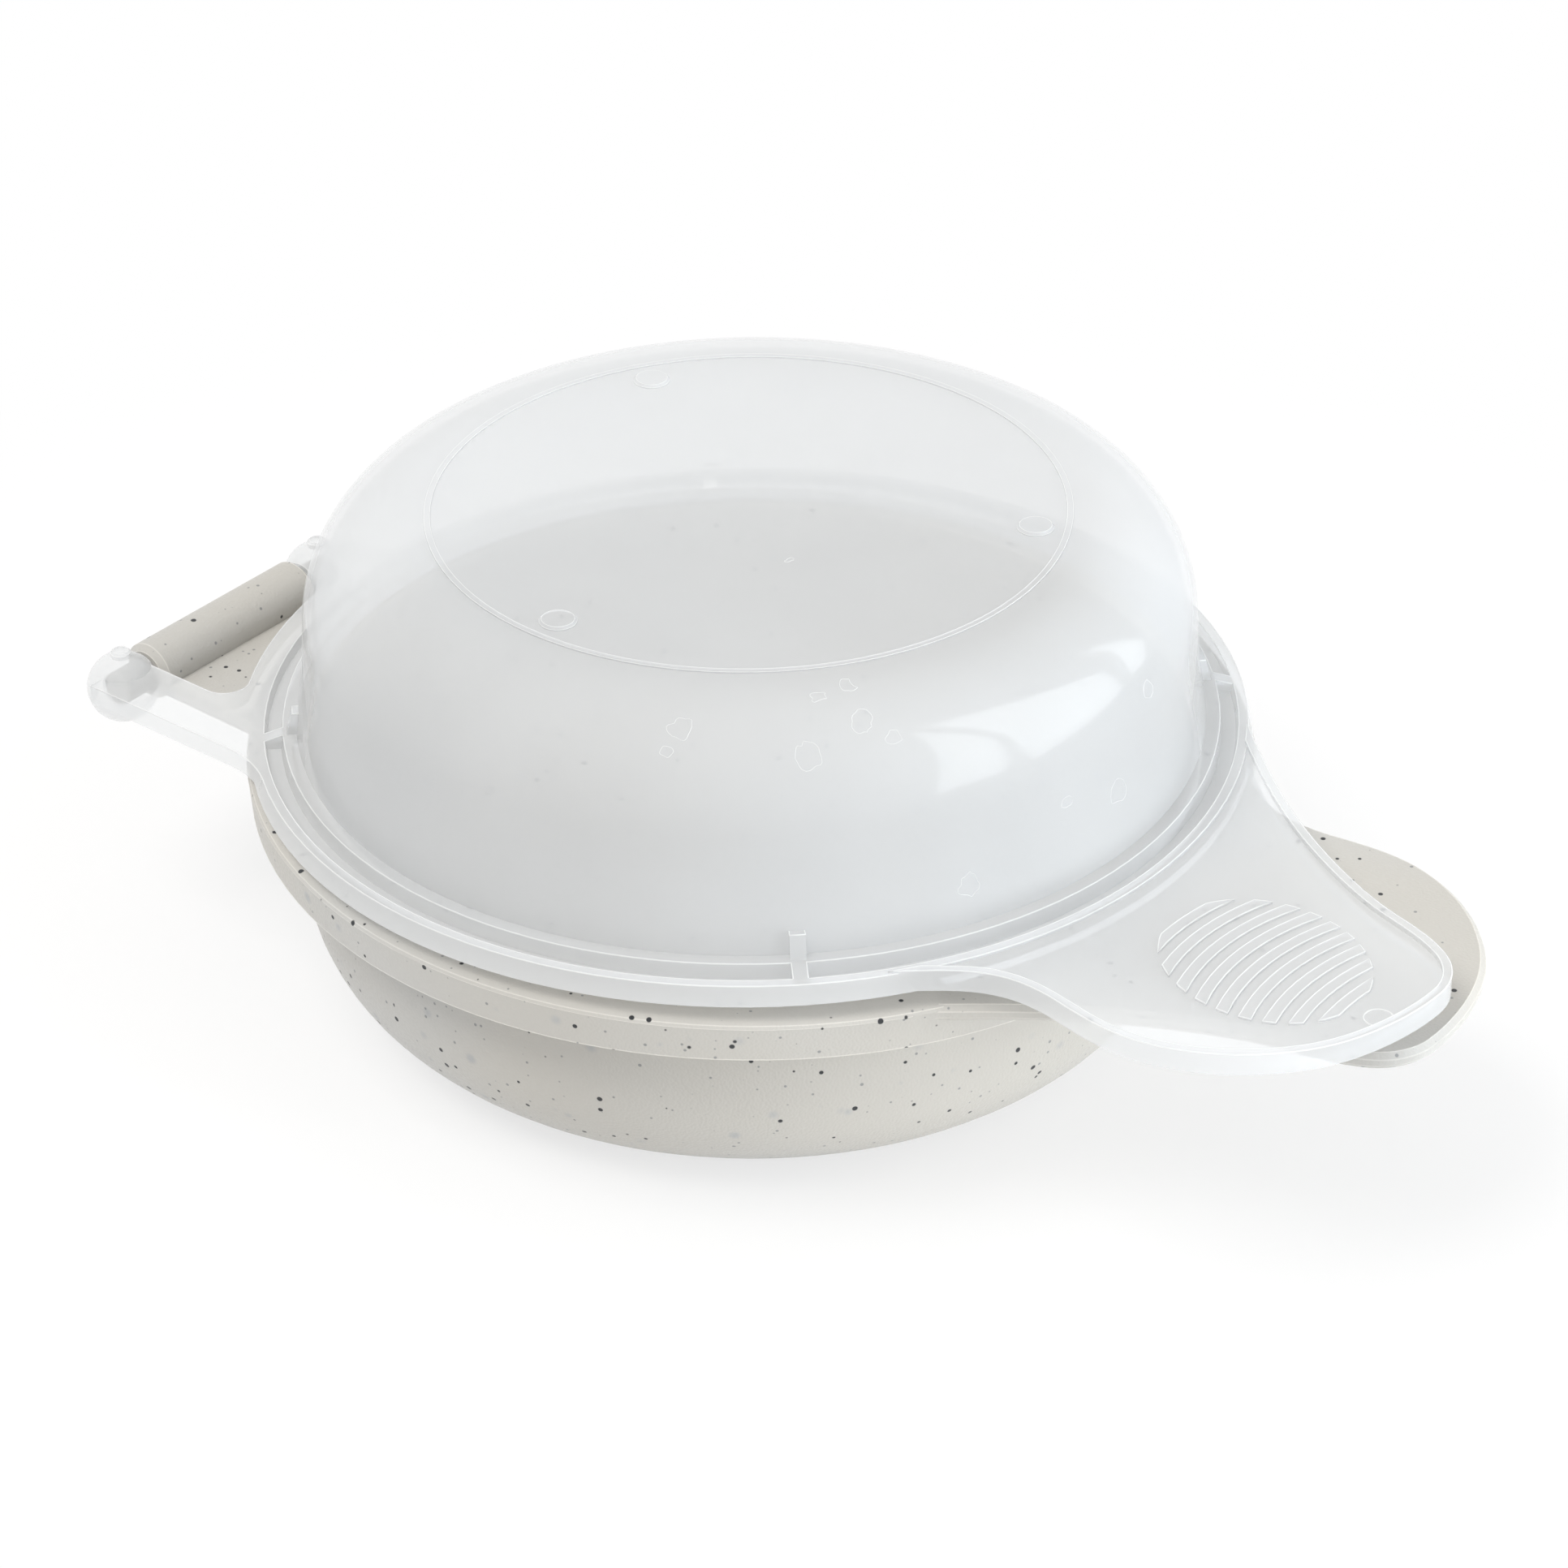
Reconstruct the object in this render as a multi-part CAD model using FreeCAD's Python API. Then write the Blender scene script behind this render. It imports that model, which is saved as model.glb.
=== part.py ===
import FreeCAD, Part
import math
import os
from FreeCAD import Vector

# Microwave egg cooker: a speckled round pan and a frosted dome lid on a snap hinge, in millimetres.
# The origin is the centre of the pan's flat foot, +X runs to the handles and +Z is up.

# Both pieces follow the edge of the lid's skirt
skirtRadius = 72.0

# Pan
panHeight = 37.7
panWall = 2.0
bowlLean = 0.6
bowlCorner = 20.5
collarOverhang = 0.6
collarWidth = 7.3
collarDraft = 0.5
collarHeight = 6.0
collarWall = 1.8
collarRounding = 0.7
guideRidgeWidth = 1.5
guideRidgeHeight = 1.6
panHandleThickness = 2.6
panHandleRounding = 0.8

# Lid
seatGap = 0.2
skirtHeight = 2.9
skirtDraft = 0.7
rimWidth = 1.45
lidWall = 1.5
channelDepth = 1.4
channelWidth = 2.65
stepWidth = 1.95
stepRise = 0.85
domeFootLean = 1.25
domeTopLean = 1.25
domeShoulderHeight = 12.6
domeCorner = 16.0
domeHeight = 36.1
edgeRounding = 0.35

# Trim on the lid
traceRingInset = 20.0
traceRingWidth = 0.9
traceRingHeight = 0.25
footBumpCount = 3
footBumpRadius = 2.65
footBumpHeight = 0.5
footBumpInset = 24.6
footBumpStart = -90
ribCount = 4
ribWidth = 2.2
ribHeight = 7.2
ribReach = 1.4

# Handles, drawn for the pan: the belly is on +Y there and on -Y on the lid.
# Each place is a reach beyond the skirt's edge and a distance sideways; both ends start inside the rim.
handleRootInset = 1.1
handleRootAngles = (35.65, -34.75)
handleShape = [
    (-8.6, 36.5), (-2.6, 33.0), (4.5, 32.4), (12.0, 33.6), (19.0, 34.0), (26.0, 32.3), (33.0, 28.3),
    (39.5, 22.2), (44.0, 13.6), (46.2, 3.0), (44.9, -5.2), (39.0, -10.0), (30.0, -12.7), (19.5, -16.8),
    (8.0, -23.2), (-1.0, -29.7), (-7.4, -35.0)]
outlineTolerance = 0.1
hiddenArcPoints = 7
lidHandleHeight = 3.3
beadWidth = 1.3
plateRecess = 0.8
plateThickness = 1.4

# Grip on the lid's handle
gripReach = 23.2
gripCentreY = -7.2
gripLength = 31.6
gripWidth = 26.6
gripTurn = -14.0
gripRidgeCount = 9
gripRidgePitch = 3.5
gripRidgeWidth = 1.8
gripRidgeHeight = 0.4
gripSweepRadius = 38.0

# Hinge
hingeReach = 7.2
hingeMiddleY = -27.4
barLength = 32.4
barRadius = 4.35
barRounding = 0.9
webThickness = 2.2
webDrop = 0.8
pinRadius = 2.5
pinLength = 5.8
pinClearance = 0.05
knuckleRadius = 5.3
knuckleFaceGap = 0.6
knuckleDepth = 9.3
socketEndGap = 0.5
armWidth = 9.7
armGap = 0.8
lipReach = 1.4
armOuterBlend = 17.0
armInnerBlend = 3.5
farInnerBlend = 5.0
farOuterBlend = 4.0
nubRadius = 1.5

# The lid stands a little open, as it was set down
ajarAngle = 1.1

# Worked out from the sizes above
lidBase = panHeight + seatGap
hingeZ = panHeight
collarBottom = panHeight - collarHeight
hingeX = -(skirtRadius + hingeReach)
collarRadius = skirtRadius + collarOverhang
bowlTopRadius = collarRadius - collarWidth
rimOuter = skirtRadius - skirtDraft
channelOuter = rimOuter - rimWidth
domeFootRadius = channelOuter - channelWidth - stepWidth
rimFloor = (rimOuter + skirtRadius) / 2 - edgeRounding


def point(radius, height):
    return Vector(radius, 0, height)


def turn(shape, degrees):
    copy = shape.copy()
    copy.rotate(Vector(0, 0, 0), Vector(0, 0, 1), degrees)
    return copy


def roundedCorner(before, corner, after, radius):
    """The arc that rounds one corner of a profile."""
    arriving = (before - corner).normalize()
    leaving = (after - corner).normalize()
    half = arriving.getAngle(leaving) / 2
    reach = radius / math.tan(half)
    middle = (arriving + leaving).normalize()
    through = corner + middle * (radius / math.sin(half) - radius)
    return Part.Arc(corner + arriving * reach, through, corner + leaving * reach).toShape()


def chain(points):
    return [Part.makeLine(points[i], points[i + 1]) for i in range(len(points) - 1)]


def revolved(edges):
    face = Part.Face(Part.Wire(edges))
    return face.revolve(Vector(0, 0, 0), Vector(0, 0, 1), 360)


def disc(radius, bottom, top):
    return Part.makeCylinder(radius, top - bottom, Vector(0, 0, bottom))


def block(x0, x1, y0, y1, z0, z1):
    return Part.makeBox(x1 - x0, y1 - y0, z1 - z0, Vector(x0, y0, z0))


def handlePlaces(side, z):
    """The paddle's outline from root to root, its belly on the given side of the X axis."""
    root = skirtRadius - handleRootInset
    first, last = [math.radians(angle) for angle in handleRootAngles]
    places = [Vector(root * math.cos(first), side * root * math.sin(first), z)]
    places += [Vector(skirtRadius + reach, side * y, z) for reach, y in handleShape]
    places.append(Vector(root * math.cos(last), side * root * math.sin(last), z))
    return places


def handleFace(side, z, inset):
    """The paddle as a face at one height, drawn inwards by the inset and turned into arcs."""
    places = handlePlaces(side, z)
    outer = Part.BSplineCurve()
    outer.interpolate(places)
    points = []
    for place in places:
        along = outer.tangent(outer.parameter(place))[0]
        points.append(place + Vector(along.y, -along.x, 0) * (side * inset))
    curve = Part.BSplineCurve()
    curve.interpolate(points)
    arcs = [arc.toShape() for arc in curve.toBiArcs(outlineTolerance)]
    closing = Part.makeLine(curve.EndPoint, curve.StartPoint)
    return Part.Face(Part.Wire(arcs + [closing]))


def prism(face, height):
    return face.extrude(Vector(0, 0, height))


def uprightEdge(shape, x, y):
    """The upright edge of a plate that lies nearest to one place in plan."""
    best = None
    for edge in shape.Edges:
        ends = [vertex.Point for vertex in edge.Vertexes]
        if len(ends) == 2 and math.hypot(ends[0].x - ends[1].x, ends[0].y - ends[1].y) < 0.001:
            distance = math.hypot(ends[0].x - x, ends[0].y - y)
            if best is None or distance < best[0]:
                best = (distance, edge)
    return best[1]


def bowlBody():
    mouth = bowlTopRadius - panWall
    ledgeBottom = panHeight - collarWall
    ridgeOuter = mouth + guideRidgeWidth
    ridgeTop = panHeight + guideRidgeHeight
    collarInner = collarRadius - collarWall
    outerWall = point(bowlTopRadius, collarBottom)
    outerFoot = point(bowlTopRadius - bowlLean, 0)
    innerWall = point(mouth, collarBottom)
    innerFoot = point(mouth - bowlLean, panWall)
    outerArc = roundedCorner(outerWall, outerFoot, point(0, 0), bowlCorner)
    innerArc = roundedCorner(innerWall, innerFoot, point(0, panWall), bowlCorner - panWall)
    outerEnds = [vertex.Point for vertex in outerArc.Vertexes]
    edges = [Part.makeLine(point(0, 0), outerEnds[1]), outerArc]
    edges += chain([outerEnds[0], outerWall, point(bowlTopRadius, ledgeBottom),
                    point(collarInner, ledgeBottom), point(collarInner - collarDraft, collarBottom),
                    point(collarRadius - collarDraft, collarBottom),
                    point(collarRadius, panHeight - collarRounding),
                    point(collarRadius - collarRounding / 3, panHeight - collarRounding / 3),
                    point(collarRadius - collarRounding, panHeight), point(ridgeOuter, panHeight),
                    point(ridgeOuter - edgeRounding, ridgeTop), point(mouth + edgeRounding, ridgeTop),
                    point(mouth, panHeight), innerWall]
                   + innerArc.discretize(Number=hiddenArcPoints) + [point(0, panWall), point(0, 0)])
    return revolved(edges)


def closedEdges(shape):
    return [edge for edge in shape.Edges if edge.isClosed()]


def topEdge(shape):
    """The closed edge at the top of an upright round piece."""
    return max(closedEdges(shape), key=lambda edge: edge.BoundBox.ZMin)


def panHandle():
    plate = prism(handleFace(1, panHeight - panHandleThickness, 0), panHandleThickness)
    rims = [edge for edge in plate.Edges if edge.BoundBox.ZLength < edgeRounding
            and not isinstance(edge.Curve, Part.Line)]
    plate = plate.makeChamfer(panHandleRounding, rims)
    return plate.cut(disc(collarRadius - collarWall / 2, 0, panHeight + guideRidgeHeight))


def hingeBar():
    start = Vector(hingeX, hingeMiddleY - barLength / 2, hingeZ)
    bar = Part.makeCylinder(barRadius, barLength, start, Vector(0, 1, 0))
    bar = bar.makeChamfer(barRounding, closedEdges(bar))
    pinStart = Vector(hingeX, start.y - pinLength, hingeZ)
    pins = Part.makeCylinder(pinRadius, barLength + 2 * pinLength, pinStart, Vector(0, 1, 0))
    return bar.fuse(pins)


def hingeWeb():
    top = panHeight - webDrop
    web = block(hingeX, 0, hingeMiddleY - barLength / 2 + barRounding, hingeMiddleY + barLength / 2 - barRounding,
                top - webThickness, top)
    return web.cut(disc(collarRadius - collarWall / 2, 0, panHeight))


def basePan():
    return bowlBody().fuse([panHandle(), hingeBar(), hingeWeb()]).removeSplitter()


def domeBody():
    base = lidBase
    rimTop = base + skirtHeight
    channelFloor = rimTop - channelDepth
    stepTop = rimTop + stepRise
    stepOuter = domeFootRadius + stepWidth
    floorUnder = base + edgeRounding / 2
    stepUnder = stepTop - lidWall
    shoulderRadius = domeFootRadius - domeFootLean
    top = base + domeHeight
    shoulder = point(shoulderRadius, base + domeShoulderHeight)
    crown = point(shoulderRadius - domeTopLean, top)
    innerShoulder = point(shoulderRadius - lidWall, base + domeShoulderHeight)
    innerCrown = point(shoulderRadius - domeTopLean - lidWall, top - lidWall)
    outerArc = roundedCorner(shoulder, crown, point(0, top), domeCorner)
    innerArc = roundedCorner(innerShoulder, innerCrown, point(0, top - lidWall), domeCorner - lidWall)
    outerEnds = [vertex.Point for vertex in outerArc.Vertexes]
    edges = chain([point(skirtRadius, base), point(rimOuter, rimTop), point(channelOuter, rimTop),
                   point(channelOuter - edgeRounding, channelFloor), point(stepOuter + edgeRounding, channelFloor),
                   point(stepOuter, stepTop), point(domeFootRadius, stepTop), shoulder, outerEnds[0]])
    edges.append(outerArc)
    edges += chain([outerEnds[1], point(0, top), point(0, top - lidWall)]
                   + innerArc.discretize(Number=hiddenArcPoints)[::-1]
                   + [innerShoulder, point(domeFootRadius - lidWall, stepUnder),
                    point(stepOuter - lidWall, stepUnder), point(stepOuter - lidWall + edgeRounding, floorUnder),
                    point(channelOuter, floorUnder), point(channelOuter, base), point(skirtRadius, base)])
    return revolved(edges)


def domeTrim():
    """The fine ring and the round feet on the dome's flat top, and the four ribs at its foot."""
    top = lidBase + domeHeight
    ringRadius = domeFootRadius - traceRingInset
    bumpCircle = domeFootRadius - footBumpInset
    ring = disc(ringRadius + traceRingWidth / 2, top - lidWall / 2, top + traceRingHeight)
    ring = ring.cut(disc(ringRadius - traceRingWidth / 2, top - lidWall, top + lidWall))
    pieces = [ring]
    bumpTop = top + footBumpHeight
    for index in range(footBumpCount):
        angle = math.radians(footBumpStart + 360 / footBumpCount * index)
        place = Vector(bumpCircle * math.cos(angle), bumpCircle * math.sin(angle), top - lidWall / 2)
        bump = Part.makeCylinder(footBumpRadius, bumpTop - place.z, place)
        pieces.append(bump.makeChamfer(edgeRounding, [topEdge(bump)]))
    for index in range(ribCount):
        pieces.append(turn(footRib(), 45 + 360 / ribCount * index))
    return pieces


def footRib():
    rimTop = lidBase + skirtHeight
    stepTop = rimTop + stepRise
    inner = domeFootRadius - lidWall / 2
    ribTop = lidBase + ribHeight
    outline = [point(inner, rimTop - channelDepth), point(channelOuter, rimTop - channelDepth),
               point(channelOuter, rimTop), point(domeFootRadius + stepWidth, stepTop),
               point(domeFootRadius + ribReach, stepTop), point(domeFootRadius + ribReach / 3, ribTop),
               point(inner - lidWall / 2, ribTop)]
    face = Part.Face(Part.makePolygon(outline + [outline[0]]))
    rib = face.extrude(Vector(0, ribWidth, 0))
    rib.translate(Vector(0, -ribWidth / 2, 0))
    return rib


def lidHandle():
    plateTop = lidBase + lidHandleHeight - plateRecess
    plateBottom = plateTop - plateThickness
    body = prism(handleFace(-1, lidBase, 0), lidHandleHeight)
    body = body.cut(prism(handleFace(-1, plateTop, beadWidth), plateRecess * 2))
    body = body.cut(prism(handleFace(-1, lidBase - 1, lidWall), plateBottom - lidBase + 1))
    grip = gripRidges(plateTop)
    return body.fuse(grip).cut(disc(rimFloor - edgeRounding, 0, 2 * panHeight))


def gripRidges(plateTop):
    """Curved ridges cut to an oval field, each bowed towards the dome."""
    middleX = skirtRadius + gripReach
    field = Part.Ellipse(Vector(0, 0, 0), gripLength / 2, gripWidth / 2).toShape()
    field = Part.Face(Part.Wire([field])).extrude(Vector(0, 0, gripRidgeHeight + plateThickness / 2))
    field.rotate(Vector(0, 0, 0), Vector(0, 0, 1), gripTurn)
    field.translate(Vector(middleX, gripCentreY, plateTop - plateThickness / 2))
    bottom = plateTop - plateThickness
    ridges = []
    for index in range(gripRidgeCount):
        bowX = middleX + gripRidgePitch * (index - (gripRidgeCount - 1) / 2)
        centre = Vector(bowX + gripSweepRadius, gripCentreY, bottom)
        ring = Part.makeCylinder(gripSweepRadius + gripRidgeWidth / 2, 4 * plateThickness, centre)
        ring = ring.cut(Part.makeCylinder(gripSweepRadius - gripRidgeWidth / 2, 4 * plateThickness, centre))
        ridges.append(field.common(ring))
    return ridges


def armSpan(side):
    """The near and far face of one arm along the hinge axis: side is -1 for the near arm, 1 for the far one."""
    inner = barLength / 2 + knuckleFaceGap + armGap
    faces = [hingeMiddleY + side * inner, hingeMiddleY + side * (inner + armWidth)]
    return min(faces), max(faces)


def hingePlate():
    """The lid's two arms and the lip between them, blended into the rim."""
    bottom = lidBase
    top = lidBase + skirtHeight
    nearStart, nearEnd = armSpan(-1)
    farStart, farEnd = armSpan(1)
    plate = disc(rimFloor, bottom, top)
    lip = disc(skirtRadius + lipReach, bottom, top).common(block(-2 * skirtRadius, 0, nearEnd, farStart, bottom, top))
    near = block(hingeX, 0, nearStart, nearEnd, bottom, top)
    far = block(hingeX, 0, farStart, farEnd, bottom, top)
    plate = plate.fuse([lip, near, far]).removeSplitter()
    corners = [
        (circleX(rimFloor, nearStart), nearStart, armOuterBlend),
        (circleX(skirtRadius + lipReach, nearEnd), nearEnd, armInnerBlend),
        (circleX(skirtRadius + lipReach, farStart), farStart, farInnerBlend),
        (circleX(rimFloor, farEnd), farEnd, farOuterBlend)]
    for x, y, radius in corners:
        plate = plate.makeFillet(radius, [uprightEdge(plate, x, y)])
    return plate.cut(disc(rimFloor - edgeRounding, 0, 2 * panHeight))


def circleX(radius, y):
    return -math.sqrt(radius ** 2 - y ** 2)


def knuckle(side):
    """A ball at the end of one arm, flat towards the bar, with a blind socket for the pin."""
    face = hingeMiddleY + side * (barLength / 2 + knuckleFaceGap)
    centre = Vector(hingeX, face + side * (knuckleDepth - knuckleRadius), hingeZ)
    ball = Part.makeSphere(knuckleRadius, centre)
    nub = Part.makeCylinder(nubRadius, knuckleRadius + nubRadius / 2, centre)
    nub = nub.makeChamfer(edgeRounding, [topEdge(nub)])
    ball = ball.fuse(nub)
    back = face - side * knuckleRadius
    keep = block(hingeX - knuckleDepth, hingeX + knuckleDepth, min(face, back), max(face, back), 0, 2 * panHeight)
    return ball.cut(keep)


def socket(side):
    face = hingeMiddleY + side * (barLength / 2 + knuckleFaceGap)
    depth = pinLength - knuckleFaceGap + socketEndGap
    start = Vector(hingeX, face - side * knuckleFaceGap, hingeZ)
    return Part.makeCylinder(pinRadius + pinClearance, depth + knuckleFaceGap, start, Vector(0, side, 0))


def lid():
    pieces = domeTrim() + [lidHandle(), hingePlate(), knuckle(-1), knuckle(1)]
    body = domeBody()
    for piece in pieces:
        body = body.fuse(piece)
    body = body.cut(socket(-1)).cut(socket(1)).removeSplitter()
    opened = body.copy()
    opened.rotate(Vector(hingeX, 0, hingeZ), Vector(0, -1, 0), ajarAngle)
    return opened


def save(shape, name):
    solids = len(shape.Solids)
    print(name, "solids", solids, "valid", shape.isValid(), "volume", round(shape.Volume))
    shape.exportStep("parts/" + name + ".step")


os.makedirs("parts", exist_ok=True)
save(basePan(), "base_pan")
save(lid(), "lid")
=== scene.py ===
import math
import bmesh
import bpy
from mathutils import Matrix, Vector
from mathutils.bvhtree import BVHTree


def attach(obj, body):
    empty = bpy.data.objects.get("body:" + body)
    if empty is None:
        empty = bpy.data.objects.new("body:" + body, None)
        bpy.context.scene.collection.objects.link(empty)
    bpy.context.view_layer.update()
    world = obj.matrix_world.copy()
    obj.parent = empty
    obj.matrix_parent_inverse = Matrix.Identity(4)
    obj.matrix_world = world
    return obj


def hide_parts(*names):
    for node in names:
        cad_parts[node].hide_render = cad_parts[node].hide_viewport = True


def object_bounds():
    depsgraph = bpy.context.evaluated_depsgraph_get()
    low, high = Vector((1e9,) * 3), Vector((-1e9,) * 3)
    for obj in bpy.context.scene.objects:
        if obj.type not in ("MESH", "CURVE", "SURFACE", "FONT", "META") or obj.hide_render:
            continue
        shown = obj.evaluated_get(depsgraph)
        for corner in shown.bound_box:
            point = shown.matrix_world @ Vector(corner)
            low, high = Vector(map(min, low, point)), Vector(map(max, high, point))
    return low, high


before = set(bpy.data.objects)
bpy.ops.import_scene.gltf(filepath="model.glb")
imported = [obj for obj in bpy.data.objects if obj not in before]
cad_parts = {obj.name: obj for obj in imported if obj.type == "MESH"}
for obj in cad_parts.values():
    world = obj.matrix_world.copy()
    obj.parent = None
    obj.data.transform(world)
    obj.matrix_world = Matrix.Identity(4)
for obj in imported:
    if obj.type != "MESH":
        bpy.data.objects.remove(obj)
cadLow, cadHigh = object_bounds()
mm = 0.001
print("frame loaded", [round(v, 4) for v in cadHigh - cadLow])

# the cooker's own sizes in millimetres and the lid's opening in degrees, as the frame has them
cooker = {
    "panHeight": 37.7, "seatGap": 0.2, "hingeX": -79.2, "ajar": 1.1, "skirtRadius": 72.0,
    "lidHandleHeight": 3.3, "plateRecess": 0.8}

# the camera, as it stood when the photo was taken; angles are in degrees, the distance in skirt radii and the
# focal length in pixels
photo = {
    "distance": 11.4070, "elevation": 31.4414, "pitch": 0.5905, "yaw": 0.3166, "roll": 0.8003,
    "turn": 40.0, "focal": 7027.1, "imageWidth": 1932, "sensor": 36.0, "clip": (0.01, 50)}


def lidTransform():
    # from the lid as it is drawn, flat on its rim, to the lid as it stands a little open
    hinge = Vector((cooker["hingeX"] * mm, 0, cooker["panHeight"] * mm))
    opened = Matrix.Rotation(math.radians(cooker["ajar"]), 4, Vector((0, -1, 0)))
    base = (cooker["panHeight"] + cooker["seatGap"]) * mm
    return Matrix.Translation(hinge) @ opened @ Matrix.Translation(-hinge) @ Matrix.Translation((0, 0, base))


def makeCamera():
    elevation = math.radians(photo["elevation"])
    back = Vector((0, -math.cos(elevation), math.sin(elevation)))
    right = Vector((1, 0, 0))
    aim = Matrix((right, back.cross(right), back))
    aim = Matrix.Rotation(math.radians(photo["yaw"]), 3, "Y") @ aim
    aim = Matrix.Rotation(math.radians(photo["pitch"]), 3, "X") @ aim
    aim = Matrix.Rotation(math.radians(photo["roll"]), 3, "Z") @ aim
    place = back * (photo["distance"] * cooker["skirtRadius"] * mm)
    seen = Matrix.Translation(place) @ aim.transposed().to_4x4()
    data = bpy.data.cameras.new("photoCamera")
    data.sensor_width = photo["sensor"]
    data.lens = photo["focal"] / photo["imageWidth"] * photo["sensor"]
    data.clip_start, data.clip_end = photo["clip"]
    camera = bpy.data.objects.new("photoCamera", data)
    bpy.context.scene.collection.objects.link(camera)
    camera.matrix_world = lidTransform() @ Matrix.Rotation(math.radians(photo["turn"]), 4, "Z") @ seen
    bpy.context.scene.camera = camera


makeCamera()
print("camera placed")


class Wire:
    # one output of a shader node; sums on it become Math nodes
    def __init__(self, socket):
        self.socket = socket

    def node(self, kind, settings=None, inputs=None, output=0):
        tree = self.socket.id_data
        made = tree.nodes.new(kind)
        for name, value in (settings or {}).items():
            setattr(made, name, value)
        for name, value in (inputs or {}).items():
            if isinstance(value, Wire):
                tree.links.new(value.socket, made.inputs[name])
            else:
                made.inputs[name].default_value = value
        return Wire(made.outputs[output])

    def sum(self, operation, first, second):
        return self.node("ShaderNodeMath", {"operation": operation}, {0: first, 1: second})

    def __add__(self, other): return self.sum("ADD", self, other)
    def __radd__(self, other): return self.sum("ADD", other, self)
    def __sub__(self, other): return self.sum("SUBTRACT", self, other)
    def __rsub__(self, other): return self.sum("SUBTRACT", other, self)
    def __mul__(self, other): return self.sum("MULTIPLY", self, other)
    def __rmul__(self, other): return self.sum("MULTIPLY", other, self)

    def atLeast(self, other): return self.sum("MAXIMUM", self, other)

    def fade(self, start, end, low=0.0, high=1.0):
        # low where the value is at start, high where it is at end, smooth between
        return self.node(
            "ShaderNodeMapRange", {"interpolation_type": "SMOOTHSTEP", "clamp": True},
            {"Value": self, "From Min": start, "From Max": end, "To Min": low, "To Max": high})

    def blend(self, first, second):
        # this value is the share of the second colour
        made = self.node("ShaderNodeMix", {"data_type": "RGBA"}, {"Factor": self}, 2).socket.node
        for index, colour in ((6, first), (7, second)):  # the Mix node's colour sockets
            if isinstance(colour, Wire):
                self.socket.id_data.links.new(colour.socket, made.inputs[index])
            else:
                made.inputs[index].default_value = (*colour, 1)
        return Wire(made.outputs[2])

    def noise(self, scale, detail=1.0):
        return self.node("ShaderNodeTexNoise", {}, {"Vector": self, "Scale": scale, "Detail": detail})

    def cells(self, scale):
        # the distance to the nearest cell's middle, and the cell's own random colour
        near = self.node("ShaderNodeTexVoronoi", {"feature": "F1"}, {"Vector": self, "Scale": scale})
        return near, Wire(near.socket.node.outputs["Color"])

    def moved(self, offset):
        return self.node("ShaderNodeVectorMath", {"operation": "ADD"}, {0: self, 1: offset})

    def part(self, axis):
        return self.node("ShaderNodeSeparateXYZ", {}, {0: self}, axis)


def startMaterial(name):
    made = bpy.data.materials.new(name)
    made.use_nodes = True
    made.node_tree.nodes.clear()
    return made, Wire(made.node_tree.nodes.new("ShaderNodeTexCoord").outputs["Object"])


def finishTree(shader, kind="ShaderNodeOutputMaterial"):
    # the shader becomes the tree's surface
    tree = shader.socket.id_data
    tree.links.new(shader.socket, tree.nodes.new(kind).inputs["Surface"])


# speckled pan plastic; a spot's radius and edge are shares of a cell, and its channel is the random number
# that it reads, so that the three kinds fall in different places
speckled = {
    "body": (0.505, 0.50, 0.482), "warm": (0.515, 0.497, 0.46), "driftScale": 22.0, "driftFade": (0.35, 0.68),
    "roughness": (0.36, 0.50), "grainScale": 2600.0, "grainFade": (0.3, 0.7), "grainStrength": 0.12,
    # edgeHighlightLift pales the plastic of the pan's edge beads as a painted highlight
    "grainDepth": 0.0005, "edgeHighlightLift": 1.25, "ior": 1.49,
    "spots": [
        {"cellsPerMetre": 230.0, "offset": (0.77, 0.41, 0.13), "channel": 2, "rareness": 0.5, "radius": 0.2,
         "edge": (0.1, -0.12), "strength": 0.5, "colour": (0.33, 0.35, 0.38)},  # grey, where a fleck lies deeper
        {"cellsPerMetre": 780.0, "offset": (0.31, 0.17, 0.53), "channel": 1, "rareness": 0.62, "radius": 0.2,
         "edge": (0.05, -0.05), "strength": 0.7, "colour": (0.16, 0.17, 0.18)},  # fine dust
        {"cellsPerMetre": 430.0, "offset": (0.0, 0.0, 0.0), "channel": 0, "rareness": 0.45, "radius": 0.185,
         "edge": (0.03, -0.03), "strength": 0.98, "colour": (0.012, 0.014, 0.018)}]}  # dark flecks


def spotMask(place, spot):
    # small balls of dark plastic, cut by the surface
    near, chance = place.moved(spot["offset"]).cells(spot["cellsPerMetre"])
    reach = chance.part(spot["channel"]).fade(spot["rareness"], 1.0, 0.0, spot["radius"])
    return (near - reach).fade(*spot["edge"])


def speckledPlastic(name, highlightLift=1.0):
    # highlightLift makes the thin edges a little paler than the flat faces, a painted highlight
    made, place = startMaterial(name)
    body, warm = [tuple(value * highlightLift for value in speckled[label]) for label in ("body", "warm")]
    colour = place.noise(speckled["driftScale"]).fade(*speckled["driftFade"]).blend(body, warm)
    for spot in speckled["spots"]:
        colour = (spotMask(place, spot) * spot["strength"]).blend(colour, spot["colour"])
    grain = place.noise(speckled["grainScale"], 0.0)
    bump = place.node("ShaderNodeBump", {}, {
        "Height": grain, "Strength": speckled["grainStrength"], "Distance": speckled["grainDepth"]})
    finishTree(place.node("ShaderNodeBsdfPrincipled", {}, {
        "Base Color": colour, "Roughness": grain.fade(*speckled["grainFade"], *speckled["roughness"]),
        "IOR": speckled["ior"], "Normal": bump}))
    return made


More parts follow.
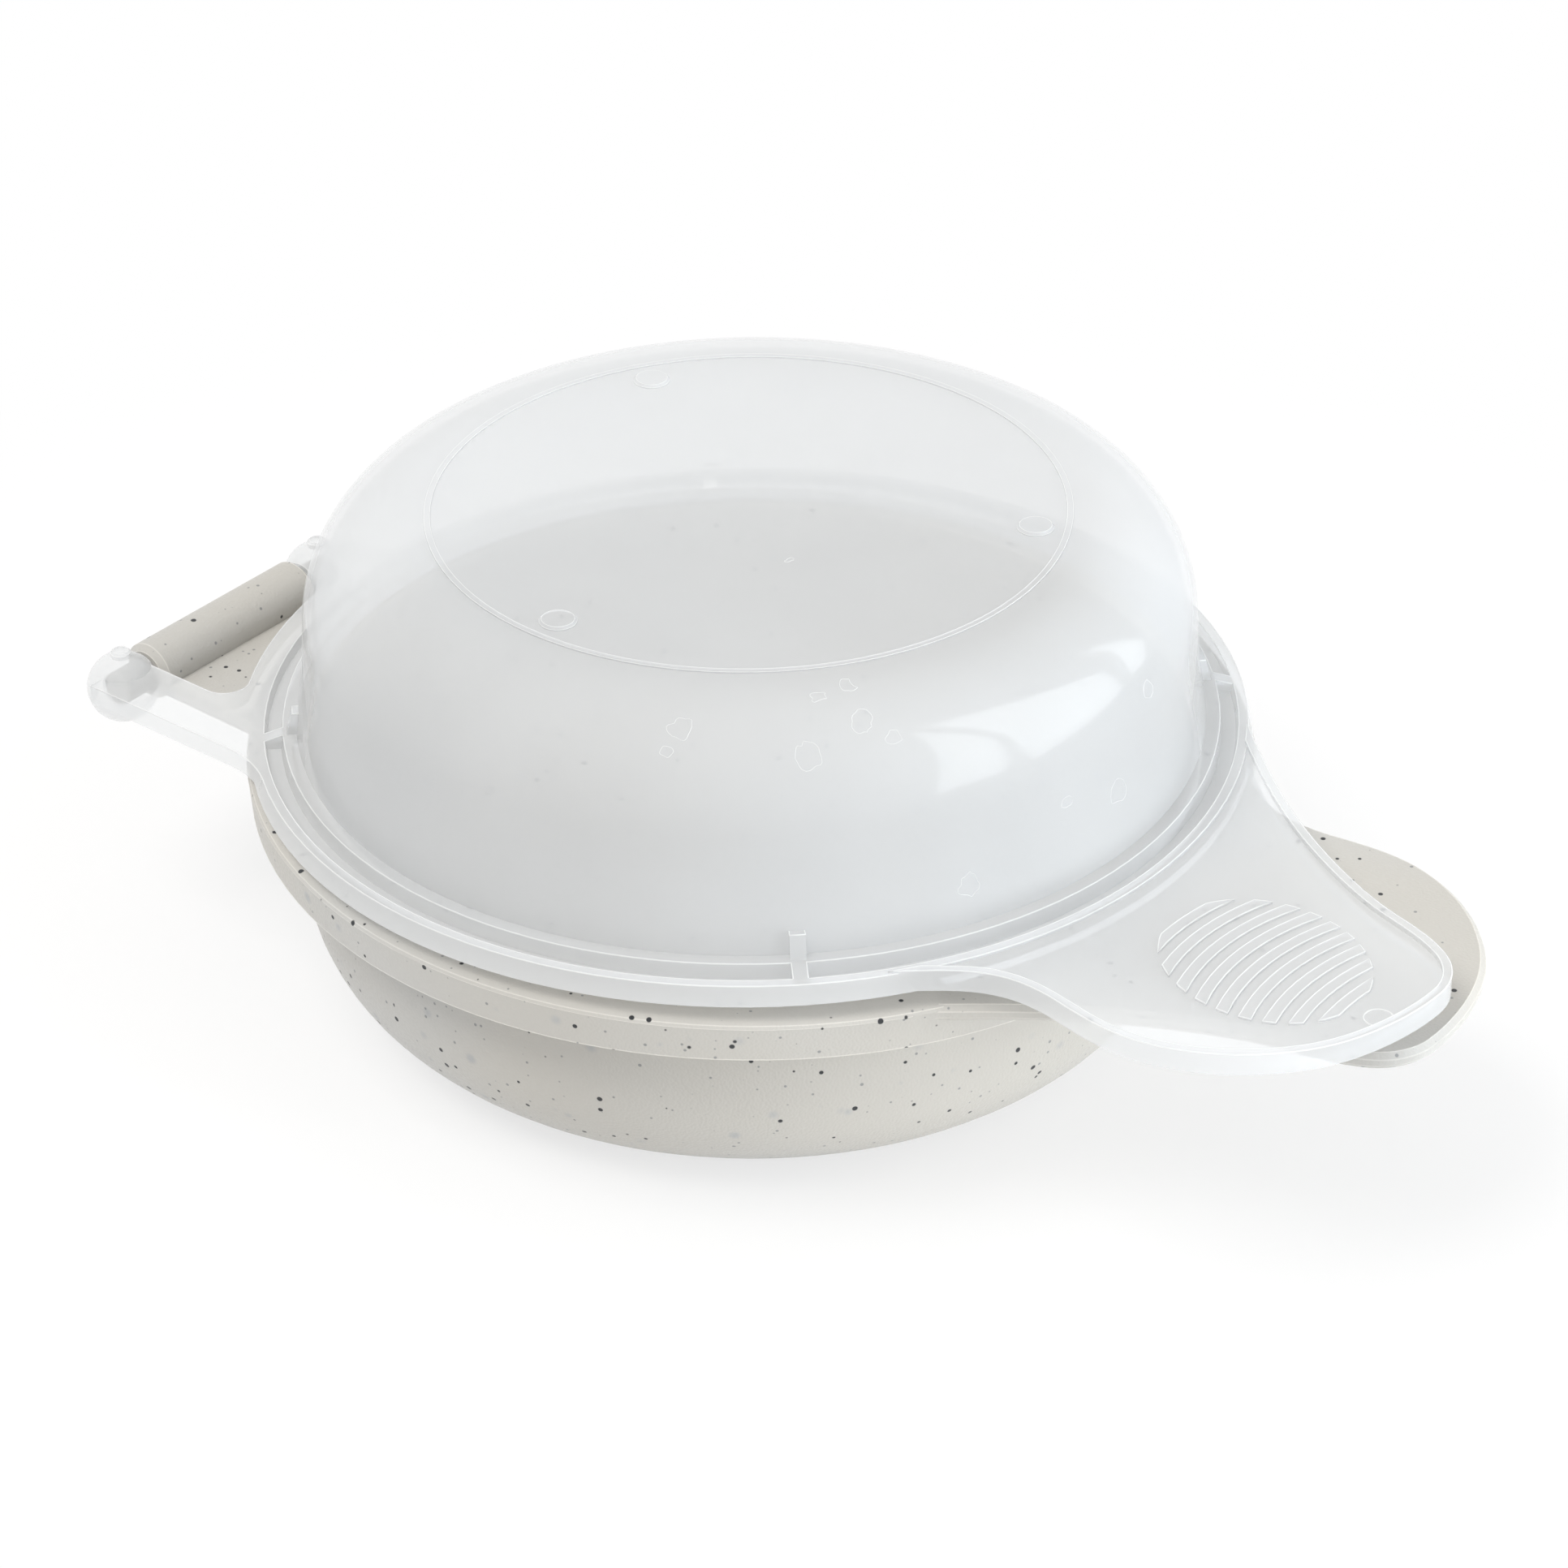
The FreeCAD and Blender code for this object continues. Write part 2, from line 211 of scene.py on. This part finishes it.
# frosted lid plastic; cover is how much of what lies behind it the plastic hides
frosted = {
    "dome": {"cover": 0.40, "roughness": 0.34, "body": (0.82, 0.835, 0.85)},
    # the rim's near-white body is painted glow of light scattered through it
    "rim": {"cover": 0.85, "roughness": 0.30, "body": (0.985, 0.985, 0.99)},
    "plate": {"cover": 0.45, "roughness": 0.30, "body": (0.87, 0.88, 0.89)},
    # the arm's darker body is painted shade
    "arm": {"cover": 0.38, "roughness": 0.28, "body": (0.58, 0.58, 0.57)},
    # the edge's paler body is a painted highlight along the moulded edges
    "edge": {"cover": 0.47, "roughness": 0.28, "body": (0.95, 0.955, 0.96)},
    "drop": {"cover": 0.42, "roughness": 0.28, "body": (0.965, 0.97, 0.98)},
    "coat": 0.9, "coatRoughness": 0.035, "specular": 0.25, "ior": 1.49, "paler": 1.01,
    "mistScale": 45.0, "mistFade": (0.3, 0.7), "coverFade": (0.25, 0.75),
    "roughnessSpread": (0.05, -0.04), "coverSpread": (-0.006, 0.006)}


def frostedPlastic(name, look):
    made, place = startMaterial(name)
    mist = place.noise(frosted["mistScale"])
    paler = [value * frosted["paler"] for value in look["body"]]
    roughness = [look["roughness"] + change for change in frosted["roughnessSpread"]]
    cover = [look["cover"] + change for change in frosted["coverSpread"]]
    finishTree(place.node("ShaderNodeBsdfPrincipled", {}, {
        "Base Color": mist.fade(*frosted["mistFade"]).blend(look["body"], paler),
        "Roughness": mist.fade(*frosted["mistFade"], *roughness),
        "Alpha": mist.fade(*frosted["coverFade"], *cover),
        "IOR": frosted["ior"], "Specular IOR Level": frosted["specular"],
        "Coat Weight": frosted["coat"], "Coat Roughness": frosted["coatRoughness"]}))
    return made


speckledMaterial = speckledPlastic("speckledPlastic")
domeMaterial = frostedPlastic("frostedDome", frosted["dome"])
rimMaterial = frostedPlastic("frostedRim", frosted["rim"])
plateMaterial = frostedPlastic("frostedPlate", frosted["plate"])
armMaterial = frostedPlastic("frostedArm", frosted["arm"])
print("materials made")

# the two mouldings: the fixed shapes, joined up and shaded smooth
mouldings = {"crease": 28.0, "weld": 1e-6, "sliver": 1e-7, "domeFoot": 66.0, "armStart": 72.6}


def smoothCopy(node, name, materials, body, chooser=None):
    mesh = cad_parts[node].data.copy()
    mesh.name = name
    work = bmesh.new()
    work.from_mesh(mesh)
    bmesh.ops.remove_doubles(work, verts=work.verts, dist=mouldings["weld"])
    bmesh.ops.dissolve_degenerate(work, edges=work.edges, dist=mouldings["sliver"])
    for face in work.faces:
        face.smooth = True
        face.material_index = chooser(face) if chooser else 0
    work.to_mesh(mesh)
    work.free()
    if "custom_normal" in mesh.attributes:  # the frame's own shading would stay otherwise
        mesh.attributes.remove(mesh.attributes["custom_normal"])
    mesh.set_sharp_from_angle(angle=math.radians(mouldings["crease"]))
    mesh.materials.clear()
    for material in materials:
        mesh.materials.append(material)
    piece = bpy.data.objects.new(name, mesh)
    bpy.context.scene.collection.objects.link(piece)
    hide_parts(node)
    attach(piece, body)
    return piece


def lidMaterial(face):
    # the dome, the rim round it, the handle and the hinge arms are each clearer or milkier; the rim's paler
    # colour is painted glow and the arms' darker colour painted shade
    middle = face.calc_center_median()
    reach = math.hypot(middle.x, middle.y)
    if reach < mouldings["domeFoot"] * mm:
        return 0
    if reach < mouldings["armStart"] * mm:
        return 1
    return 3 if middle.x < 0 else 2


panMoulding = smoothCopy("base_pan", "panMoulding", [speckledMaterial], "pan")
lidMoulding = smoothCopy("lid", "lidMoulding", [domeMaterial, rimMaterial, plateMaterial, armMaterial],
                         "lid", lidMaterial)
print("mouldings shaded")


def nodeTree(name, inputs):
    # an empty tree with its sockets, and a helper that adds one linked node
    tree = bpy.data.node_groups.new(name, "GeometryNodeTree")
    tree.interface.new_socket("Geometry", in_out="INPUT", socket_type="NodeSocketGeometry")
    for label, kind in inputs.items():
        tree.interface.new_socket(label, in_out="INPUT", socket_type="NodeSocket" + kind)
    tree.interface.new_socket("Geometry", in_out="OUTPUT", socket_type="NodeSocketGeometry")

    def add(kind, links=None, settings=None):
        made = tree.nodes.new(kind)
        for label, value in (settings or {}).items():
            setattr(made, label, value)
        for label, value in (links or {}).items():
            if isinstance(value, bpy.types.NodeSocket):
                tree.links.new(value, made.inputs[label])
            else:
                made.inputs[label].default_value = value
        return made

    return tree, add


def applyTree(piece, tree, values):
    # runs a tree on a piece and keeps the result as its plain mesh
    modifier = piece.modifiers.new(tree.name, "NODES")
    modifier.node_group = tree
    for item in tree.interface.items_tree:
        if item.item_type == "SOCKET" and item.in_out == "INPUT" and item.name in values:
            modifier[item.identifier] = values[item.name]
    bpy.context.view_layer.update()
    graph = bpy.context.evaluated_depsgraph_get()
    made = bpy.data.meshes.new_from_object(piece.evaluated_get(graph), depsgraph=graph)
    piece.modifiers.clear()
    piece.data = made
    made.name = piece.name


def finishTubes(add, given, path, section):
    # a tube along the path, smooth, real and in its material
    tube = add("GeometryNodeCurveToMesh", {"Curve": path, "Profile Curve": section, "Fill Caps": True})
    smooth = add("GeometryNodeSetShadeSmooth", {0: tube.outputs[0]})
    real = add("GeometryNodeRealizeInstances", {0: smooth.outputs[0]})
    finish = add("GeometryNodeSetMaterial", {"Geometry": real.outputs[0], "Material": given.outputs["Finish"]})
    add("NodeGroupOutput", {0: finish.outputs[0]})


# fine beads along the moulded edges, paler than the mouldings as a painted highlight, and a gate mark's ring on
# the lid's handle
beads = {
    "lidRadius": 0.12, "panRadius": 0.14, "domeRadius": 0.06, "sides": 6, "sunk": 0.9,
    "edgeAngle": 30.0, "topFacing": 0.6, "domeTop": 70.0, "collarReach": 0.5, "collarDepth": 6.5,
    "gatePlace": (114.5, -8.6), "gateRadius": 2.0, "gateSteps": 40}


def makeBeadTree():
    tree, add = nodeTree("beadAlongEdges", {"Bead Radius": "Float", "Bead Sides": "Int", "Finish": "Material"})
    given = add("NodeGroupInput")
    paths = add("GeometryNodeMeshToCurve", {"Mesh": given.outputs["Geometry"]})
    section = add("GeometryNodeCurvePrimitiveCircle",
                  {"Resolution": given.outputs["Bead Sides"], "Radius": given.outputs["Bead Radius"]})
    finishTubes(add, given, paths.outputs[0], section.outputs[0])
    return tree


def edgeBeads(source, name, radius, material, body, wanted, ring=()):
    # lines along the wanted convex edges of a moulding, sunk a little, then made into beads
    work = bmesh.new()
    work.from_mesh(source.data)
    lines = bmesh.new()
    known = {}

    def corner(vertex, inward):
        if vertex.index not in known:
            known[vertex.index] = [lines.verts.new(vertex.co), Vector()]
        known[vertex.index][1] += inward
        return known[vertex.index][0]

    for edge in work.edges:
        if len(edge.link_faces) != 2 or not edge.is_convex:
            continue
        first, second = [face.normal for face in edge.link_faces]
        flat = first.angle(second, 0) < math.radians(beads["edgeAngle"])
        if flat or not wanted(edge, max(first.z, second.z)):
            continue
        lines.edges.new([corner(vertex, -(first + second)) for vertex in edge.verts])
    for vertex, inward in known.values():
        vertex.co += inward.normalized() * radius * beads["sunk"]
    corners = [lines.verts.new(place) for place in ring]
    for index, vertex in enumerate(corners):
        lines.edges.new((vertex, corners[(index + 1) % len(corners)]))
    mesh = bpy.data.meshes.new(name)
    lines.to_mesh(mesh)
    work.free()
    lines.free()
    piece = bpy.data.objects.new(name, mesh)
    bpy.context.scene.collection.objects.link(piece)
    applyTree(piece, beadTree, {"Bead Radius": radius, "Bead Sides": beads["sides"], "Finish": material})
    for vertex in piece.data.vertices:  # no bead stands past the solids' box
        vertex.co = [min(max(value, low), high) for value, low, high in zip(vertex.co, cadLow, cadHigh)]
    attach(piece, body)
    print(name, len(piece.data.polygons), "faces")


def topEdge(edge, facing):
    return facing > beads["topFacing"] and edge.verts[0].co.z < beads["domeTop"] * mm


def domeTopEdge(edge, facing):
    return facing > beads["topFacing"] and edge.verts[0].co.z >= beads["domeTop"] * mm


def collarEdge(edge, facing):
    middle = (edge.verts[0].co + edge.verts[1].co) / 2
    outside = math.hypot(middle.x, middle.y) > (cooker["skirtRadius"] - beads["collarReach"]) * mm
    return outside and middle.z > (cooker["panHeight"] - beads["collarDepth"]) * mm


def gateRing():
    # the corners of the gate mark's ring, flat on the recessed plate of the lid's handle
    height = cooker["lidHandleHeight"] - cooker["plateRecess"]
    places = []
    for step in range(beads["gateSteps"]):
        angle = 2 * math.pi * step / beads["gateSteps"]
        x = beads["gatePlace"][0] + beads["gateRadius"] * math.cos(angle)
        y = beads["gatePlace"][1] + beads["gateRadius"] * math.sin(angle)
        places.append(lidTransform() @ Vector((x * mm, y * mm, height * mm)))
    return places


# the lid beads' paler frosted plastic is a painted highlight
edgeHighlightMaterial = frostedPlastic("frostedEdge", frosted["edge"])
# the collar beads' paler speckled plastic is a painted highlight
collarHighlightMaterial = speckledPlastic("speckledEdge", speckled["edgeHighlightLift"])
beadTree = makeBeadTree()
edgeBeads(lidMoulding, "lidEdges", beads["lidRadius"] * mm, edgeHighlightMaterial, "lid",
          topEdge, gateRing())
edgeBeads(lidMoulding, "domeEdges", beads["domeRadius"] * mm, edgeHighlightMaterial, "lid",
          domeTopEdge)
edgeBeads(panMoulding, "panEdges", beads["panRadius"] * mm, collarHighlightMaterial, "pan",
          collarEdge)

# dried water drops on the dome: pixel across, pixel down and radius in millimetres
drops = {
    "places": [
        (995, 932, 1.9), (1062, 890, 1.7), (1045, 845, 1.2), (1010, 858, 1.1), (838, 897, 1.5),
        (1377, 975, 1.7), (1316, 988, 1.0), (1195, 1090, 1.6), (1415, 848, 1.3), (820, 925, 0.8),
        (1100, 905, 0.9), (975, 690, 0.9)],
    "outline": 0.05, "sides": 6, "steps": 28, "wobble": 2.6, "wobbleScale": 520.0,
    "seed": 5, "seedStep": 0.37}


def throughPixel(px, py):
    # the place and facing on the lid that one pixel of the photo shows
    seen = bpy.context.scene.camera.matrix_world
    half = photo["imageWidth"] / 2
    ray = seen.to_3x3() @ Vector(((px - half) / photo["focal"], (half - py) / photo["focal"], -1))
    return lidSurface.ray_cast(seen.translation, ray.normalized())[:2]


def makeDropTree():
    # a loop at each place, bent by noise and laid back on the lid, as a thin raised outline
    tree, add = nodeTree("driedDrops", {
        "Lid": "Object", "Outline": "Float", "Wobble": "Float", "Seed": "Int", "Finish": "Material"})
    given = add("NodeGroupInput")
    size = add("GeometryNodeInputNamedAttribute", {"Name": "dropSize"}, {"data_type": "FLOAT"})
    facing = add("GeometryNodeInputNamedAttribute", {"Name": "dropFacing"}, {"data_type": "FLOAT_VECTOR"})
    aim = add("FunctionNodeAlignRotationToVector", {"Vector": facing.outputs[0]}, {"axis": "Z"})
    # a circle one metre in radius, which dropSize brings down to the drop's own
    loop = add("GeometryNodeCurvePrimitiveCircle", {"Resolution": drops["steps"], "Radius": 1.0})
    placed = add("GeometryNodeInstanceOnPoints", {
        "Points": given.outputs["Geometry"], "Instance": loop.outputs[0],
        "Rotation": aim.outputs[0], "Scale": size.outputs[0]})
    loops = add("GeometryNodeRealizeInstances", {0: placed.outputs[0]})
    where = add("GeometryNodeInputPosition")
    seed = add("ShaderNodeMath", {0: given.outputs["Seed"], 1: drops["seedStep"]}, {"operation": "MULTIPLY"})
    noise = add("ShaderNodeTexNoise", {
        "Vector": where.outputs[0], "W": seed.outputs[0], "Scale": drops["wobbleScale"], "Detail": 1.0},
        {"noise_dimensions": "4D"})
    centred = add("ShaderNodeVectorMath", {0: noise.outputs["Color"], 1: (0.5, 0.5, 0.5)},
                  {"operation": "SUBTRACT"})
    shift = add("ShaderNodeVectorMath", {0: centred.outputs[0], "Scale": given.outputs["Wobble"]},
                {"operation": "SCALE"})
    bent = add("GeometryNodeSetPosition", {"Geometry": loops.outputs[0], "Offset": shift.outputs[0]})
    lid = add("GeometryNodeObjectInfo", {"Object": given.outputs["Lid"]})
    nearest = add("GeometryNodeProximity", {0: lid.outputs["Geometry"]})
    laid = add("GeometryNodeSetPosition", {"Geometry": bent.outputs[0], "Position": nearest.outputs[0]})
    section = add("GeometryNodeCurvePrimitiveCircle",
                  {"Resolution": drops["sides"], "Radius": given.outputs["Outline"]})
    finishTubes(add, given, laid.outputs[0], section.outputs[0])
    return tree


def driedDrops():
    found = [(*throughPixel(px, py), size * mm) for px, py, size in drops["places"]]
    found = [each for each in found if each[0] is not None]
    mesh = bpy.data.meshes.new("driedDrops")
    mesh.from_pydata([place for place, normal, size in found], [], [])
    sizes = mesh.attributes.new("dropSize", "FLOAT", "POINT")
    facings = mesh.attributes.new("dropFacing", "FLOAT_VECTOR", "POINT")
    for index, (place, normal, size) in enumerate(found):
        sizes.data[index].value = size
        facings.data[index].vector = normal
    piece = bpy.data.objects.new("driedDrops", mesh)
    bpy.context.scene.collection.objects.link(piece)
    applyTree(piece, makeDropTree(), {
        "Lid": lidMoulding, "Outline": drops["outline"] * mm, "Wobble": drops["wobble"] * mm,
        "Seed": drops["seed"], "Finish": frostedPlastic("driedDrops", frosted["drop"])})
    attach(piece, "lid")
    print("driedDrops", len(found), "drops", len(piece.data.polygons), "faces")


lidSurface = BVHTree.FromObject(lidMoulding, bpy.context.evaluated_depsgraph_get())
driedDrops()

# floor, backdrop and light in metres; a lamp's place is to the right, away and up, as the camera sees it
studio = {
    "floor": (0.88, 0.88, 0.88), "floorSize": 30.0, "floorDrop": 0.0002, "floorGlow": 0.7,
    "floorFade": (0.10, 0.21), "bounce": (0.78, 0.78, 0.78), "bounceFade": (0.18, 0.28), "worldStrength": 0.62,
    "cool": (0.92, 0.965, 1.0), "warm": (1.0, 0.98, 0.945), "aim": (0, 0, 0.03),
    "overheadSoftbox": {"size": (1.6, 1.6), "power": 3.0, "place": (-0.35, 0.6, 1.3), "tint": "warm"},
    "leftSoftbox": {"size": (0.7, 0.7), "power": 12.0, "place": (-0.6, -0.45, 1.3), "tint": "warm"},
    "sideSoftbox": {"size": (1.0, 0.5), "power": 62.0, "place": (1.15, -0.45, 0.08), "tint": "cool"}}

# the window that the dome mirrors: corners of its panes in pixels, and the middle of the dome's rounded
# shoulder, out and up in millimetres
window = {
    "distance": 0.9, "strength": 2.3, "shine": 5.2, "shoulder": (47.3, 20.1), "leastRise": 0.05,
    "panes": [[(1124, 901), (1222, 908), (1239, 948), (1152, 979)],
              [(1135, 893), (1357, 827), (1381, 850), (1270, 937)],
              [(1324, 805), (1408, 788), (1411, 813), (1394, 830)]]}


def showsWhite(path):
    # one for the camera, for mirrored rays and for rays through clear plastic
    outputs = path.socket.node.outputs
    camera, glossy, clear = [
        Wire(outputs[label]) for label in ("Is Camera Ray", "Is Glossy Ray", "Is Transmission Ray")]
    return camera.atLeast(glossy).atLeast(clear)


def stagePiece(name, corners, material, height=0.0):
    mesh = bpy.data.meshes.new(name)
    mesh.from_pydata(corners, [], [(0, 1, 2, 3)])
    mesh.materials.append(material)
    piece = bpy.data.objects.new(name, mesh)
    bpy.context.scene.collection.objects.link(piece)
    piece.location.z = height


def makeFloor():
    made, place = startMaterial("paleFloor")
    matt = place.node("ShaderNodeBsdfDiffuse", {}, {"Color": (*studio["floor"], 1)})
    away = place.node("ShaderNodeVectorMath", {"operation": "LENGTH"}, {0: place}, 1)
    # the camera sees the floor partly as plain white, so that the shadow stays light, and wholly further out
    seen = showsWhite(place.node("ShaderNodeLightPath"))
    whiteness = seen * away.fade(*studio["floorFade"], studio["floorGlow"], 1.0)
    whiteness = whiteness + (1 - seen) * away.fade(*studio["bounceFade"])
    colour = seen.blend(studio["bounce"], (1, 1, 1))
    glow = place.node("ShaderNodeEmission", {}, {"Color": colour, "Strength": 1.0})
    finishTree(place.node("ShaderNodeMixShader", {}, {0: whiteness, 1: matt, 2: glow}))
    half = studio["floorSize"] / 2
    corners = [(-half, -half, 0), (half, -half, 0), (half, half, 0), (-half, half, 0)]
    stagePiece("studioFloor", corners, made, -studio["floorDrop"])


def makeWorld():
    world = bpy.data.worlds.new("paleRoom")
    bpy.context.scene.world = world
    world.use_nodes = True
    world.node_tree.nodes.clear()
    seen = showsWhite(Wire(world.node_tree.nodes.new("ShaderNodeLightPath").outputs[0]))
    lit, shown = [seen.node("ShaderNodeBackground", {}, {"Color": (1, 1, 1, 1), "Strength": strength})
                  for strength in (studio["worldStrength"], 1.0)]
    finishTree(seen.node("ShaderNodeMixShader", {}, {0: seen, 1: lit, 2: shown}), "ShaderNodeOutputWorld")


def mirroredPlace(px, py):
    # where a lamp has to be for the dome to mirror it at this pixel of the photo
    place, facing = throughPixel(px, py)
    local = lidTransform().inverted() @ place
    reach = Vector((local.x, local.y, 0))
    across = reach.length / mm - window["shoulder"][0]
    rise = max(local.z / mm - window["shoulder"][1], window["leastRise"] * across)
    facing = lidTransform().to_3x3() @ (reach.normalized() * across + Vector((0, 0, rise))).normalized()
    ray = (place - bpy.context.scene.camera.matrix_world.translation).normalized()
    return place + (ray - 2 * ray.dot(facing) * facing) * window["distance"]


def makeWindow():
    # mirrored in the lid, the panes are brighter than the light that they give
    made, place = startMaterial("windowGlow")
    colour = (*studio["cool"], 1)
    glow, shine = [place.node("ShaderNodeEmission", {}, {"Color": colour, "Strength": window[label]})
                   for label in ("strength", "shine")]
    mirrored = place.node("ShaderNodeLightPath", {}, {}, "Is Glossy Ray")
    finishTree(place.node("ShaderNodeMixShader", {}, {0: mirrored, 1: glow, 2: shine}))
    for index, corners in enumerate(window["panes"]):
        stagePiece("windowPane%d" % index, [mirroredPlace(px, py) for px, py in corners], made)


def softLight(name):
    lamp = studio[name]
    data = bpy.data.lights.new(name, "AREA")
    data.shape = "RECTANGLE"
    data.size, data.size_y = lamp["size"]
    data.energy = lamp["power"]
    data.color = studio[lamp["tint"]]
    light = bpy.data.objects.new(name, data)
    bpy.context.scene.collection.objects.link(light)
    light.location = Matrix.Rotation(math.radians(photo["turn"]), 3, "Z") @ Vector(lamp["place"])
    light.rotation_mode = "QUATERNION"
    light.rotation_quaternion = (light.location - Vector(studio["aim"])).to_track_quat("Z", "Y")
    light.visible_glossy = False  # only the window shows as a reflection


makeFloor()
makeWorld()
makeWindow()
for lampName in ("overheadSoftbox", "leftSoftbox", "sideSoftbox"):
    softLight(lampName)
print("studio lit")

bpy.context.scene.view_settings.view_transform = "Standard"
